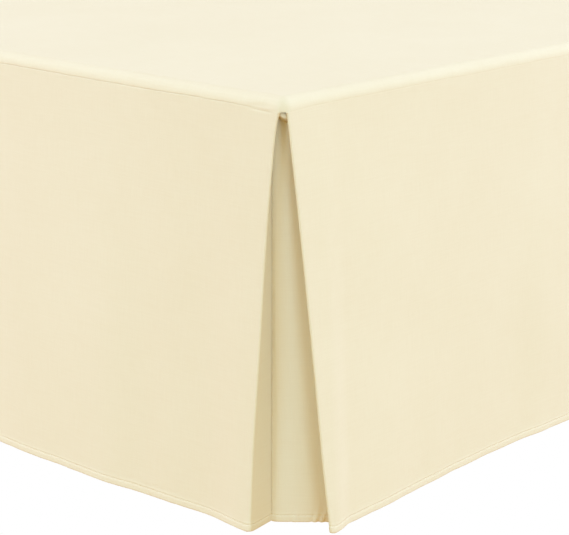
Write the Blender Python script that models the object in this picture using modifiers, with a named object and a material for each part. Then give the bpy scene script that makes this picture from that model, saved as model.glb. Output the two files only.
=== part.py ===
"""Bed skirt on a bed base: a plain cream cotton skirt of three drops with inverted corner pleats, sewn to a
deck sheet that lies on a shallow upholstered base with six legs.

Metres, +Z up. The foot of the bed is at -Y and the open head end at +Y. The origin is on the floor under the
middle of the whole object, hems included."""

import math
from collections import namedtuple

import bmesh
import bpy
import numpy as np
from mathutils import Vector

MM = 0.001

# The bed base and its legs
BASE_WIDTH = 1.350
BASE_LENGTH = 1.900
BASE_DEPTH = 0.090
BASE_CORNER_RADIUS = 0.056
BASE_EDGE_RADIUS = 0.012
LEG_TOP_RADIUS = 0.030
LEG_FOOT_RADIUS = 0.022
LEG_INSET_SIDE = 0.110
LEG_INSET_END = 0.120
LEG_SIDES = 16

# The cloth, and how the skirt hangs
CLOTH = 0.0010              # thickness of one layer
HEM_THICKNESS = 0.0016      # the turned hem
HEM_WIDTH = 0.007
PIECE_GAP = 0.0004          # between pieces that touch
DROP = 0.372                # from the seam down to the hem
HEM_ABOVE_FLOOR = 0.006
SEAM_STANDS_OUT = 0.0035    # outer face of the deck's rim, beyond the side of the base
SEAM_BELOW_TOP = 0.011      # from the deck's upper face down to the seam
DECK_CORNER_RADIUS = 0.011
DECK_EDGE_RADIUS = 0.010
DECK_SHORT_OF_HEAD = 0.014  # the deck and side drops stop just short of the base's rounded head edge

# The corner pleat
FOLD_RADIUS = 0.9 * MM      # middle of the cloth round a pressed fold
FOLD_STEPS = 4
CREASE_TRIM = 0.2 * MM      # each piece stops this far short of the inner crease, where two pieces join
INSERT_COLUMNS = 6

# Rows of points down a sheet, in millimetres below the seam, between its top edge and its hem
ROWS_DOWN = (28, 56, 85, 118, 152, 186, 220, 258, 296, 332)
FIRST_COLUMN = 9 * MM       # columns stand close beside a pleat and wider apart further on
WIDEST_COLUMN = 48 * MM
COLUMN_GROWTH = 1.45

# How far the hem stands out from the seam, in millimetres, at distances along the drop from the corner that shows
HemRow = namedtuple("HemRow", "along out")
FOOT_HEM = [
    HemRow(30, 6.5), HemRow(46, 7.4), HemRow(82, 4.6), HemRow(150, 9.8), HemRow(225, 16.3), HemRow(330, 17.2),
    HemRow(455, 11.0), HemRow(560, 7.5), HemRow(690, 14.5), HemRow(820, 10.0), HemRow(945, 6.5),
    HemRow(1080, 13.0), HemRow(1190, 15.5), HemRow(1275, 5.5), HemRow(1312, 7.4), HemRow(1328, 6.5),
]
SIDE_HEM = [
    HemRow(36, 20.6), HemRow(44, 21.4), HemRow(70, 16.0), HemRow(118, 15.4), HemRow(180, 11.6), HemRow(240, 8.6),
    HemRow(325, 6.6), HemRow(375, 10.0), HemRow(480, 13.0), HemRow(610, 8.5), HemRow(750, 15.0),
    HemRow(890, 9.5), HemRow(1020, 13.5), HemRow(1160, 8.0), HemRow(1310, 14.0), HemRow(1450, 9.0),
    HemRow(1590, 13.0), HemRow(1720, 8.5), HemRow(1830, 11.0), HemRow(1900, 12.0),
]

# The inverted pleat, in millimetres. "down" is below the seam. An edge is the front fold of a drop, and a crease
# is where the insert joins the cloth turned in from that fold. "along" is the distance from the corner beside
# that drop, and "inward" runs from the seam towards the inside of the bed.
PleatRow = namedtuple(
    "PleatRow",
    "down foot_edge foot_crease_along foot_crease_inward side_edge side_crease_along side_crease_inward",
)
PLEAT = [
    PleatRow(0, 9.3, 20.0, 8.0, 5.2, 26.0, 3.6),
    PleatRow(85, 17.4, 24.2, 12.1, 13.5, 33.9, 1.3),
    PleatRow(220, 26.6, 34.5, 22.6, 25.1, 49.0, -0.1),
    PleatRow(318, 32.8, 37.3, 25.1, 32.5, 58.0, -2.8),
    PleatRow(372, 34.3, 37.4, 25.0, 36.1, 62.6, -4.7),
]

# Heights and outlines worked out from the sizes above
SEAM_Z = HEM_ABOVE_FLOOR + DROP
DECK_TOP = SEAM_Z + SEAM_BELOW_TOP
BASE_TOP = DECK_TOP - CLOTH - PIECE_GAP
BASE_UNDERSIDE = BASE_TOP - BASE_DEPTH
FOOT_REACH = max(row.out for row in FOOT_HEM) * MM + HEM_THICKNESS / 2
BASE_CENTRE_Y = (SEAM_STANDS_OUT + FOOT_REACH) / 2
SEAM_X = BASE_WIDTH / 2 + SEAM_STANDS_OUT
SEAM_FOOT_Y = BASE_CENTRE_Y - BASE_LENGTH / 2 - SEAM_STANDS_OUT
SKIRT_HEAD_Y = BASE_CENTRE_Y + BASE_LENGTH / 2 - DECK_SHORT_OF_HEAD
CORNER_TO_CORNER = 2 * SEAM_X
CORNER_TO_HEAD = SKIRT_HEAD_Y - SEAM_FOOT_Y

RIGHT, LEFT = 1, -1


def start_empty_file():
    for item in list(bpy.data.objects):
        bpy.data.objects.remove(item)


def make_collection(name):
    collection = bpy.data.collections.new(name)
    bpy.context.scene.collection.children.link(collection)
    return collection


def plain_material(name, colour, roughness):
    material = bpy.data.materials.new(name)
    material.use_nodes = True
    shader = material.node_tree.nodes["Principled BSDF"]
    shader.inputs["Base Color"].default_value = (*colour, 1)
    shader.inputs["Roughness"].default_value = roughness
    shader.inputs["Metallic"].default_value = 0
    return material


def add_object(name, shape, material):
    """Turns a bmesh into a named object in the part's collection."""
    mesh = bpy.data.meshes.new(name)
    shape.to_mesh(mesh)
    shape.free()
    mesh.materials.append(material)
    made = bpy.data.objects.new(name, mesh)
    PART.objects.link(made)
    return made


def thicken(sheet, thickness, offset):
    solid = sheet.modifiers.new("cloth", "SOLIDIFY")
    solid.thickness = thickness
    solid.offset = offset
    solid.use_even_offset = True
    return solid


# ---- the base, its legs and the deck ----

def rounded_block(width, foot_y, head_y, low, high, corner_radius, edge_radius, round_underside):
    """A block with round corners in plan and a round upper edge."""
    block = bmesh.new()
    bmesh.ops.create_cube(block, size=1)
    bmesh.ops.scale(block, vec=(width, head_y - foot_y, high - low), verts=block.verts)
    bmesh.ops.translate(block, vec=(0, (head_y + foot_y) / 2, (high + low) / 2), verts=block.verts)
    upright = [e for e in block.edges if abs(e.verts[0].co.z - e.verts[1].co.z) > (high - low) / 2]
    bmesh.ops.bevel(block, geom=upright, offset=corner_radius, segments=5, profile=0.5, affect="EDGES")

    def is_rim(edge):
        level = edge.verts[0].co.z
        flat = abs(level - edge.verts[1].co.z) < PIECE_GAP
        return flat and (level > high - PIECE_GAP or (round_underside and level < low + PIECE_GAP))

    rim = [e for e in block.edges if is_rim(e)]
    bmesh.ops.bevel(block, geom=rim, offset=edge_radius, segments=4, profile=0.5, affect="EDGES")
    return block


def add_base(material):
    half = BASE_LENGTH / 2
    block = rounded_block(BASE_WIDTH, BASE_CENTRE_Y - half, BASE_CENTRE_Y + half, BASE_UNDERSIDE, BASE_TOP,
                          BASE_CORNER_RADIUS, BASE_EDGE_RADIUS, True)
    add_object("bed_base", block, material)


def add_legs(material):
    height = BASE_UNDERSIDE - PIECE_GAP
    across = BASE_WIDTH / 2 - LEG_INSET_SIDE
    lengthwise = BASE_LENGTH / 2 - LEG_INSET_END
    for row, y in (("foot", -lengthwise), ("middle", 0), ("head", lengthwise)):
        for side, x in (("left", -across), ("right", across)):
            leg = bmesh.new()
            bmesh.ops.create_cone(leg, cap_ends=True, segments=LEG_SIDES, radius1=LEG_FOOT_RADIUS,
                                  radius2=LEG_TOP_RADIUS, depth=height)
            made = add_object(f"leg_{row}_{side}", leg, material)
            made.location = (x, BASE_CENTRE_Y + y, height / 2)
            made.data.shade_smooth()
            made.data.set_sharp_from_angle(angle=math.radians(40))


def add_deck(material):
    """The deck sheet: flat on the base, rolled over its edges to the seam, and cut straight at the head."""
    past_head = SKIRT_HEAD_Y + 2 * DECK_CORNER_RADIUS
    block = rounded_block(2 * SEAM_X, SEAM_FOOT_Y, past_head, SEAM_Z, DECK_TOP,
                          DECK_CORNER_RADIUS, DECK_EDGE_RADIUS, False)
    bmesh.ops.bisect_plane(block, geom=block.verts[:] + block.edges[:] + block.faces[:],
                           plane_co=(0, SKIRT_HEAD_Y, 0), plane_no=(0, 1, 0), clear_outer=True)
    underside = [f for f in block.faces if f.normal.z < -0.9]
    bmesh.ops.delete(block, geom=underside, context="FACES")
    deck = add_object("deck", block, material)
    thicken(deck, CLOTH, -1)


# ---- how the drops hang ----

def smooth_lookup(table, position):
    """The hem's distance out, eased between the rows so that its crests and hollows are round."""
    along = [row.along for row in table]
    place = min(max(position, along[0]), along[-1])
    after = max(1, int(np.searchsorted(along, place)))
    low, high = table[after - 1], table[after]
    share = (place - low.along) / (high.along - low.along)
    return low.out + (high.out - low.out) * (0.5 - 0.5 * math.cos(math.pi * share))


def pleat_size(column, down):
    return float(np.interp(down / MM, [row.down for row in PLEAT], [getattr(row, column) for row in PLEAT])) * MM


def stands_out(table, along, down):
    """How far the middle of a drop's cloth stands out from the seam's face."""
    at_seam = -CLOTH / 2
    at_hem = smooth_lookup(table, along / MM) * MM
    return at_seam + (at_hem - at_seam) * down / DROP


def column_steps(length, widen_both_ways):
    """Shares of a drop's length at which its columns of points stand, close together beside a pleat."""
    reach = length / 2 if widen_both_ways else length
    places = [0.0]
    step = FIRST_COLUMN
    while places[-1] + step < reach:
        places.append(places[-1] + step)
        step = min(step * COLUMN_GROWTH, WIDEST_COLUMN)
    places = [place * reach / (places[-1] + step) for place in places] + [reach]
    if widen_both_ways:
        places += [length - place for place in reversed(places[:-1])]
    return [place / length for place in places]


def levels():
    """Distances below the seam of the rows of points, with a close pair at the top of the hem."""
    hem_top = DROP - HEM_WIDTH
    return [PIECE_GAP] + [row * MM for row in ROWS_DOWN] + [hem_top - CLOTH, hem_top, DROP]


# ---- the inverted pleat: at each level the cloth runs round four pins like a belt ----

Pin = namedtuple("Pin", "centre turn")   # turn is +1 where the cloth turns left and -1 where it turns right


def pleat_pins(down):
    """The pins seen from above at the right-hand corner, in order from the foot drop to the side drop."""
    foot_edge = pleat_size("foot_edge", down)
    side_edge = pleat_size("side_edge", down)
    foot_out = stands_out(FOOT_HEM, foot_edge, down)
    side_out = stands_out(SIDE_HEM, side_edge, down)
    return [
        Pin(Vector((-foot_edge - FOLD_RADIUS, FOLD_RADIUS - foot_out)), 1),
        Pin(Vector((-pleat_size("foot_crease_along", down), pleat_size("foot_crease_inward", down))), -1),
        Pin(Vector((-pleat_size("side_crease_inward", down), pleat_size("side_crease_along", down))), -1),
        Pin(Vector((side_out - FOLD_RADIUS, side_edge + FOLD_RADIUS)), 1),
    ]


def heading_between(first, second):
    """The direction of the straight stretch of cloth from one pin to the next."""
    step = second.centre - first.centre
    return math.atan2(step.y, step.x) - math.asin(FOLD_RADIUS * (second.turn - first.turn) / step.length)


def point_on_pin(pin, heading):
    return pin.centre + pin.turn * FOLD_RADIUS * Vector((math.sin(heading), -math.cos(heading)))


def round_pin(pin, heading_in, heading_out):
    turned = (heading_out - heading_in) * pin.turn % (2 * math.pi)
    return [point_on_pin(pin, heading_in + pin.turn * turned * step / FOLD_STEPS) for step in range(FOLD_STEPS + 1)]


def trimmed(start, end):
    """A straight stretch between two points, each end cut back a little, in plan."""
    back = (end - start).normalized() * CREASE_TRIM
    return start + back, end - back


def foot_side_of_pleat(down):
    """The foot drop's front fold and the cloth turned in behind it, from the inner crease outwards."""
    foot, foot_crease = pleat_pins(down)[:2]
    inward = heading_between(foot, foot_crease)
    fold = round_pin(foot, 0, inward)
    start, end = trimmed(fold[-1], point_on_pin(foot_crease, inward))
    return [end, (start + end) / 2] + fold[::-1]


def side_of_pleat(down):
    """The side drop's front fold and the cloth turned in behind it, from the inner crease outwards."""
    side_crease, side = pleat_pins(down)[2:]
    outward = heading_between(side_crease, side)
    fold = round_pin(side, outward, math.pi / 2)
    start, end = trimmed(point_on_pin(side_crease, outward), fold[0])
    return [start, (start + end) / 2] + fold


def insert_line(down):
    """The insert at the back of the pleat, from crease to crease."""
    foot_crease, side_crease = pleat_pins(down)[1:3]
    across = heading_between(foot_crease, side_crease)
    start, end = trimmed(point_on_pin(foot_crease, across), point_on_pin(side_crease, across))
    return [start.lerp(end, step / INSERT_COLUMNS) for step in range(INSERT_COLUMNS + 1)]


def from_corner(point, side, down):
    """A point in plan at the corner of the seam, placed in the room; the left corner mirrors the right one."""
    return Vector((side * (SEAM_X + point.x), SEAM_FOOT_Y + point.y, SEAM_Z - down))


# ---- the skirt's pieces ----

def add_sheet(name, sections, material):
    """Cloth through level sections of the same number of points, thicker at the turned hem."""
    sheet = bmesh.new()
    rows = [[sheet.verts.new(point) for point in section] for section in sections]
    for upper, lower in zip(rows, rows[1:]):
        for column in range(len(upper) - 1):
            sheet.faces.new((upper[column], lower[column], lower[column + 1], upper[column + 1]))
    made = add_object(name, sheet, material)
    columns = len(rows[0])
    hem = made.vertex_groups.new(name="hem")
    hem.add(list(range((len(rows) - 2) * columns, len(rows) * columns)), 1.0, "REPLACE")
    solid = thicken(made, HEM_THICKNESS, 0)
    solid.vertex_group = hem.name
    solid.thickness_vertex_group = CLOTH / HEM_THICKNESS
    made.data.shade_smooth()
    made.data.set_sharp_from_angle(angle=math.radians(50))


def add_foot_drop(material):
    """Across the foot of the bed, with a turned-in fold at both ends."""
    steps = column_steps(CORNER_TO_CORNER, True)
    sections = []
    for down in levels():
        turned_in = foot_side_of_pleat(down)
        first = -turned_in[-1].x
        front = []
        for share in steps[1:-1]:
            along = first + (CORNER_TO_CORNER - 2 * first) * share
            out = stands_out(FOOT_HEM, along, down)
            front.append(from_corner(Vector((-along, -out)), RIGHT, down))
        right = [from_corner(point, RIGHT, down) for point in turned_in]
        left = [from_corner(point, LEFT, down) for point in turned_in]
        sections.append((right + front + left[::-1])[::-1])
    add_sheet("foot_drop", sections, material)


def add_side_drop(side, name, material):
    """Along one side of the bed, from the corner pleat to the open head end."""
    steps = column_steps(CORNER_TO_HEAD, False)
    sections = []
    for down in levels():
        turned_in = side_of_pleat(down)
        first = turned_in[-1].y
        front = []
        for share in steps[1:]:
            along = first + (CORNER_TO_HEAD - first) * share
            front.append(Vector((stands_out(SIDE_HEM, along, down), along)))
        section = [from_corner(point, side, down) for point in turned_in + front]
        sections.append(section if side == RIGHT else section[::-1])
    add_sheet(name, sections, material)


def add_insert(side, name, material):
    """The panel at the back of a corner pleat."""
    sections = []
    for down in levels():
        section = [from_corner(point, side, down) for point in insert_line(down)]
        sections.append(section if side == RIGHT else section[::-1])
    add_sheet(name, sections, material)


start_empty_file()
PART = make_collection("bed_skirt_on_base")
cotton = plain_material("cream cotton", (0.896, 0.806, 0.604), 0.85)
upholstery = plain_material("stone woven cover", (0.52, 0.49, 0.44), 0.9)
beech = plain_material("lacquered beech", (0.58, 0.40, 0.22), 0.45)

add_base(upholstery)
add_legs(beech)
add_deck(cotton)
add_foot_drop(cotton)
add_side_drop(RIGHT, "side_drop_right", cotton)
add_side_drop(LEFT, "side_drop_left", cotton)
add_insert(RIGHT, "pleat_insert_right", cotton)
add_insert(LEFT, "pleat_insert_left", cotton)
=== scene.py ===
import math
from collections import namedtuple

import bmesh
import bpy
import numpy as np
from mathutils import Matrix, Vector


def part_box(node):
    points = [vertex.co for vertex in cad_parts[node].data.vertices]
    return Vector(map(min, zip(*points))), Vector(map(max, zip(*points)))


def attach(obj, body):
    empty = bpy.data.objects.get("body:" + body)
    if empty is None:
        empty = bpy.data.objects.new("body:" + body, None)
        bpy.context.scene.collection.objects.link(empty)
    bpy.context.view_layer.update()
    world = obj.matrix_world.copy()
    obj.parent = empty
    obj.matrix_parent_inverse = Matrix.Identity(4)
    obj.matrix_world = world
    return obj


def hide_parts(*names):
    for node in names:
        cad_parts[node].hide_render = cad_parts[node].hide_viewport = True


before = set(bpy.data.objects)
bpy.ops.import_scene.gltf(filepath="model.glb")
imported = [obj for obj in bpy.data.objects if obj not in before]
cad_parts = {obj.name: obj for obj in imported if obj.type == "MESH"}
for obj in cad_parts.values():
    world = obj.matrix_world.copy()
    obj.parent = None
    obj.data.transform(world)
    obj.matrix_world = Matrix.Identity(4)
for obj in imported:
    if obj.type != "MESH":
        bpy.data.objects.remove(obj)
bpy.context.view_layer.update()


# ---- The bed base ----
# A low padded platform for a 135 by 190 cm bed. Its frame is wrapped in a plain stone-coloured woven cover,
# drawn tight round the corners and seamed just under the upper edge. A thin dark dust cover closes it
# underneath.

MM = 0.001
BASE_CORNER_RADIUS = 56 * MM
BASE_EDGE_RADIUS = 12 * MM
COVER_SEAM_WIDTH = 3 * MM
COVER_SEAM_DEPTH = 1.2 * MM
DUST_COVER_INSET = 25 * MM
DUST_COVER_LEAST_AREA = 0.5  # square metres
DOWNWARD = -0.99             # a face that looks down has a normal whose Z is below this

CROSSING_SHARE = 0.25        # how much of a weave's height comes from its crossings
SLUBS_ACROSS = 0.45          # how fast the thickness varies from thread to thread
SLUBS_ALONG = 0.018          # and along each thread
WARP_SLUBS, WEFT_SLUBS = 3.1, 17.4   # the warp and the weft have slubs of their own
THREAD_CONTRAST = 1.6
PATCHES_PER_METRE = 9.0


def pick_up(piece):
    """Leaves one piece selected and active, because an operator acts on all that is selected."""
    bpy.ops.object.select_all(action="DESELECT")
    piece.select_set(True)
    bpy.context.view_layer.objects.active = piece


def select_edges(piece, wanted):
    """Goes into edit mode with only those edges selected whose two ends pass a test."""
    bpy.ops.object.mode_set(mode="EDIT")
    bpy.ops.mesh.select_mode(type="EDGE")
    bpy.ops.mesh.select_all(action="DESELECT")
    shape = bmesh.from_edit_mesh(piece.data)
    for edge in shape.edges:
        edge.select_set(wanted(edge.verts[0].co, edge.verts[1].co))
    bmesh.update_edit_mesh(piece.data)


def select_underside(piece):
    """Goes into edit mode with only those faces selected that look down."""
    bpy.ops.object.mode_set(mode="EDIT")
    bpy.ops.mesh.select_mode(type="FACE")
    bpy.ops.mesh.select_all(action="DESELECT")
    shape = bmesh.from_edit_mesh(piece.data)
    for face in shape.faces:
        face.select_set(face.normal.z < DOWNWARD)
    bmesh.update_edit_mesh(piece.data)


def add_node(tree, kind, inputs=(), **settings):
    """One node of a material. Its inputs are given as values or as the outputs of other nodes."""
    made = tree.nodes.new(kind)
    for name, value in settings.items():
        setattr(made, name, value)
    for name, value in dict(inputs).items():
        if isinstance(value, bpy.types.NodeSocket):
            tree.links.new(value, made.inputs[name])
        else:
            made.inputs[name].default_value = value
    return made


def calculate(tree, operation, first, second=0.0):
    return add_node(tree, "ShaderNodeMath", {0: first, 1: second}, operation=operation).outputs[0]


def mix_colours(tree, share, first, second):
    """Goes from the first colour to the second as the share goes from 0 to 1."""
    first, second = (end if isinstance(end, bpy.types.NodeSocket) else (*end, 1) for end in (first, second))
    return add_node(tree, "ShaderNodeMix", {0: share, 6: first, 7: second}, data_type="RGBA").outputs[2]


def add_noise(tree, place, scale, detail, **others):
    """Soft random tones, as many to the metre as the scale says where the place is in metres."""
    inputs = {"Vector": place, "Scale": scale, "Detail": detail, **others}
    return add_node(tree, "ShaderNodeTexNoise", inputs).outputs[0]


def object_place(tree):
    return add_node(tree, "ShaderNodeTexCoord").outputs["Object"]


def new_finish(name, roughness):
    """A material with its shader, whose colour and bump the section then wires in."""
    material = bpy.data.materials.new(name)
    material.use_nodes = True
    shader = material.node_tree.nodes["Principled BSDF"]
    shader.inputs["Roughness"].default_value = roughness
    return material, material.node_tree, shader


def fibre_finish(name, roughness, fibres_per_metre, detail, first_tone, second_tone):
    """Felt, fleece or thread, whose fibres show as two close tones."""
    material, tree, shader = new_finish(name, roughness)
    fibres = add_noise(tree, object_place(tree), fibres_per_metre, detail)
    tree.links.new(mix_colours(tree, fibres, first_tone, second_tone), shader.inputs["Base Color"])
    return material


def make_plain_weave():
    """Warp and weft threads over and under each other, with thick and thin places along each thread."""
    weave = bpy.data.node_groups.new("plain weave", "ShaderNodeTree")
    weave.interface.new_socket("Place", in_out="INPUT", socket_type="NodeSocketVector")
    weave.interface.new_socket("Threads per metre", in_out="INPUT", socket_type="NodeSocketFloat")
    weave.interface.new_socket("Unevenness", in_out="INPUT", socket_type="NodeSocketFloat")
    weave.interface.new_socket("Height", in_out="OUTPUT", socket_type="NodeSocketFloat")
    weave.interface.new_socket("Shade", in_out="OUTPUT", socket_type="NodeSocketFloat")
    given = weave.nodes.new("NodeGroupInput").outputs
    counted = add_node(weave, "ShaderNodeVectorMath", {0: given["Place"], 3: given["Threads per metre"]},
                       operation="SCALE")
    threads = add_node(weave, "ShaderNodeSeparateXYZ", {0: counted.outputs[0]})
    warp, weft = threads.outputs["X"], threads.outputs["Y"]
    crossings = calculate(weave, "MULTIPLY",
                          calculate(weave, "SINE", calculate(weave, "MULTIPLY", warp, math.pi)),
                          calculate(weave, "SINE", calculate(weave, "MULTIPLY", weft, math.pi)))

    def slubs(across, along, start):
        stretched = add_node(weave, "ShaderNodeCombineXYZ", {
            0: calculate(weave, "MULTIPLY", across, SLUBS_ACROSS),
            1: calculate(weave, "MULTIPLY", along, SLUBS_ALONG),
            2: start})
        return add_noise(weave, stretched.outputs[0], 1.0, 2.0, Roughness=0.6)

    both = calculate(weave, "ADD", slubs(warp, weft, WARP_SLUBS), slubs(weft, warp, WEFT_SLUBS))
    shade = calculate(weave, "MULTIPLY", both, 0.5)
    height = calculate(weave, "ADD", calculate(weave, "MULTIPLY", crossings, CROSSING_SHARE),
                       calculate(weave, "MULTIPLY", shade, given["Unevenness"]))
    out = weave.nodes.new("NodeGroupOutput")
    weave.links.new(height, out.inputs["Height"])
    weave.links.new(shade, out.inputs["Shade"])
    return weave


plain_weave = make_plain_weave()


def woven_finish(name, light, dark, threads_per_metre, unevenness, mottling, bump_height, roughness):
    """Woven cloth: two close tones that vary with its threads and, more broadly, over the piece."""
    material, tree, shader = new_finish(name, roughness)
    place = add_node(tree, "ShaderNodeUVMap").outputs[0]
    weave = add_node(tree, "ShaderNodeGroup", {"Place": place, "Threads per metre": threads_per_metre,
                                               "Unevenness": unevenness}, node_tree=plain_weave)
    threads = calculate(tree, "SUBTRACT", weave.outputs["Shade"], 0.5)
    threads = calculate(tree, "MULTIPLY", threads, THREAD_CONTRAST)
    patches = add_noise(tree, object_place(tree), PATCHES_PER_METRE, 4.0, Roughness=0.55)
    patches = calculate(tree, "MULTIPLY", calculate(tree, "SUBTRACT", patches, 0.5), mottling)
    share = calculate(tree, "ADD", calculate(tree, "ADD", threads, patches), 0.5)
    tree.links.new(mix_colours(tree, share, light, dark), shader.inputs["Base Color"])
    bump = add_node(tree, "ShaderNodeBump", {"Height": weave.outputs["Height"], "Strength": 1.0,
                                             "Distance": bump_height})
    tree.links.new(bump.outputs[0], shader.inputs["Normal"])
    return material, shader


stone_cover, stone_shader = woven_finish(
    "stone_woven_cover", light=(0.56, 0.52, 0.46), dark=(0.45, 0.415, 0.36), threads_per_metre=900,
    unevenness=1.4, mottling=0.5, bump_height=0.35 * MM, roughness=0.9)
stone_shader.inputs["Sheen Weight"].default_value = 0.2

dust_cover = fibre_finish("dust_cover_felt", 0.95, 700.0, 3.0, (0.035, 0.034, 0.033), (0.075, 0.073, 0.07))

base_low, base_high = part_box("bed_base")
bpy.ops.object.select_all(action="DESELECT")
bpy.ops.mesh.primitive_cube_add(size=1, location=(base_low + base_high) / 2, scale=base_high - base_low)
base_cover = bpy.context.object
base_cover.name = base_cover.data.name = "base_cover"
bpy.ops.object.transform_apply(location=True, rotation=True, scale=True)
select_edges(base_cover, lambda one, other: abs(one.z - other.z) > BASE_EDGE_RADIUS)
bpy.ops.mesh.bevel(offset=BASE_CORNER_RADIUS, segments=10, affect="EDGES")
select_edges(base_cover, lambda one, other: abs(one.z - other.z) < MM)
bpy.ops.mesh.bevel(offset=BASE_EDGE_RADIUS, segments=6, affect="EDGES")
seam_level = base_high.z - BASE_EDGE_RADIUS
select_edges(base_cover, lambda one, other: max(abs(one.z - seam_level), abs(other.z - seam_level)) < MM / 10)
bpy.ops.mesh.bevel(offset=COVER_SEAM_WIDTH / 2, segments=2, affect="EDGES")
select_edges(base_cover, lambda one, other: max(abs(one.z - seam_level), abs(other.z - seam_level)) < MM / 10)
bpy.ops.transform.shrink_fatten(value=-COVER_SEAM_DEPTH)
select_underside(base_cover)
bpy.ops.mesh.inset(thickness=DUST_COVER_INSET)
bpy.ops.mesh.select_all(action="SELECT")
bpy.ops.uv.cube_project(cube_size=1.0)
bpy.ops.object.mode_set(mode="OBJECT")
base_cover.data.materials.append(stone_cover)
base_cover.data.materials.append(dust_cover)
for face in base_cover.data.polygons:
    face.material_index = 1 if face.normal.z < DOWNWARD and face.area > DUST_COVER_LEAST_AREA else 0
bpy.ops.object.shade_smooth_by_angle(angle=math.radians(35))
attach(base_cover, "root")
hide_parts("bed_base")


# ---- The legs ----
# Six beech legs turned to a taper and lacquered, screwed up into the base. A thin felt pad is glued under
# each foot.

LEG_FOOT_RADIUS = 22 * MM
LEG_TOP_RADIUS = 30 * MM
LEG_FOOT_ROUNDING = 2.5 * MM
FELT_INSET = 3 * MM
GRAIN_SCALE = (90, 90, 5)    # to the metre: the grain is drawn out along the leg
FLECK_SCALE = (700, 700, 90)
FLECK_LEVEL = 0.63
FLECK_STRENGTH = 0.45

beech, beech_tree, beech_shader = new_finish("lacquered_beech", 0.38)
beech_shader.inputs["Coat Weight"].default_value = 0.25
beech_shader.inputs["Coat Roughness"].default_value = 0.25
beech_place = object_place(beech_tree)
grain_place = add_node(beech_tree, "ShaderNodeMapping", {"Vector": beech_place, "Scale": GRAIN_SCALE})
beech_grain = add_noise(beech_tree, grain_place.outputs[0], 1.0, 5.0, Distortion=0.6)
fleck_place = add_node(beech_tree, "ShaderNodeMapping", {"Vector": beech_place, "Scale": FLECK_SCALE})
beech_flecks = add_noise(beech_tree, fleck_place.outputs[0], 1.0, 1.0)
beech_flecks = calculate(beech_tree, "GREATER_THAN", beech_flecks, FLECK_LEVEL)
beech_flecks = calculate(beech_tree, "MULTIPLY", beech_flecks, FLECK_STRENGTH)
beech_tones = mix_colours(beech_tree, beech_grain, (0.62, 0.43, 0.245), (0.49, 0.315, 0.165))
beech_colour = mix_colours(beech_tree, beech_flecks, beech_tones, (0.33, 0.2, 0.1))
beech_tree.links.new(beech_colour, beech_shader.inputs["Base Color"])
beech_bump = add_node(beech_tree, "ShaderNodeBump", {"Height": beech_grain, "Strength": 0.3,
                                                     "Distance": 0.4 * MM})
beech_tree.links.new(beech_bump.outputs[0], beech_shader.inputs["Normal"])

felt_pad = fibre_finish("brown_felt", 1.0, 900.0, 3.0, (0.09, 0.065, 0.045), (0.17, 0.13, 0.095))

leg_nodes = ["leg_foot_left", "leg_foot_right", "leg_middle_left", "leg_middle_right", "leg_head_left",
             "leg_head_right"]
first_low, first_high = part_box(leg_nodes[0])
bpy.ops.object.select_all(action="DESELECT")
bpy.ops.mesh.primitive_cone_add(vertices=48, radius1=LEG_FOOT_RADIUS, radius2=LEG_TOP_RADIUS,
                                depth=first_high.z - first_low.z, location=(first_low + first_high) / 2)
turned_leg = bpy.context.object
turned_leg.name = "turned_leg"
bpy.ops.object.transform_apply(location=True, rotation=True, scale=True)
select_edges(turned_leg, lambda one, other: max(one.z, other.z) < first_low.z + MM)
bpy.ops.mesh.bevel(offset=LEG_FOOT_ROUNDING, segments=4, affect="EDGES")
select_edges(turned_leg, lambda one, other: min(one.z, other.z) > first_high.z - MM)
bpy.ops.mesh.bevel(offset=LEG_FOOT_ROUNDING / 2, segments=2, affect="EDGES")
select_underside(turned_leg)
bpy.ops.mesh.inset(thickness=FELT_INSET)
bpy.ops.object.mode_set(mode="OBJECT")
turned_leg.data.materials.append(beech)
turned_leg.data.materials.append(felt_pad)
for face in turned_leg.data.polygons:
    face.material_index = 1 if face.normal.z < DOWNWARD and len(face.vertices) > 4 else 0
bpy.ops.object.shade_smooth_by_angle(angle=math.radians(40))
for leg_node in leg_nodes:
    leg_low, leg_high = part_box(leg_node)
    leg = turned_leg if leg_node == leg_nodes[0] else turned_leg.copy()
    if leg is not turned_leg:
        leg.data = turned_leg.data.copy()
        bpy.context.scene.collection.objects.link(leg)
        leg.data.transform(Matrix.Translation((leg_low + leg_high) / 2 - (first_low + first_high) / 2))
    leg.name = leg.data.name = leg_node.replace("leg", "turned_leg")
    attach(leg, "root")
    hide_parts(leg_node)


# ---- The deck sheet ----
# The flat sheet of the skirt, cream plain-woven cotton, laid on the base under the mattress. It rolls softly
# over the edge of the base down to the seam, where its raw edge is turned in. Its head end has a narrow hem.

deck_low, deck_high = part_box("deck")
SEAM_X, SEAM_FOOT_Y, SKIRT_HEAD_Y = deck_high.x, deck_low.y, deck_high.y
SEAM_Z, DECK_TOP = deck_low.z, deck_high.z
CLOTH = 0.8 * MM
DECK_ROLL = 10 * MM          # radius of the soft edge, on its outer face
ROLL_STEPS = 10
DECK_SLACK = 0.9 * MM        # the sheet lies loose on the base, up to this much above it
DECK_SLACK_EASE = 60 * MM
DECK_PITCH = 14 * MM
SHOWN_PITCH = 4 * MM         # closer along the first stretch beside the corner that shows
SHOWN_REACH = 340 * MM
HEAD_ROWS = np.array([10, 8, 7, 6.2, 5.4, 4, 2.5, 1, 0]) * MM   # closest over the hem at the head end

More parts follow.
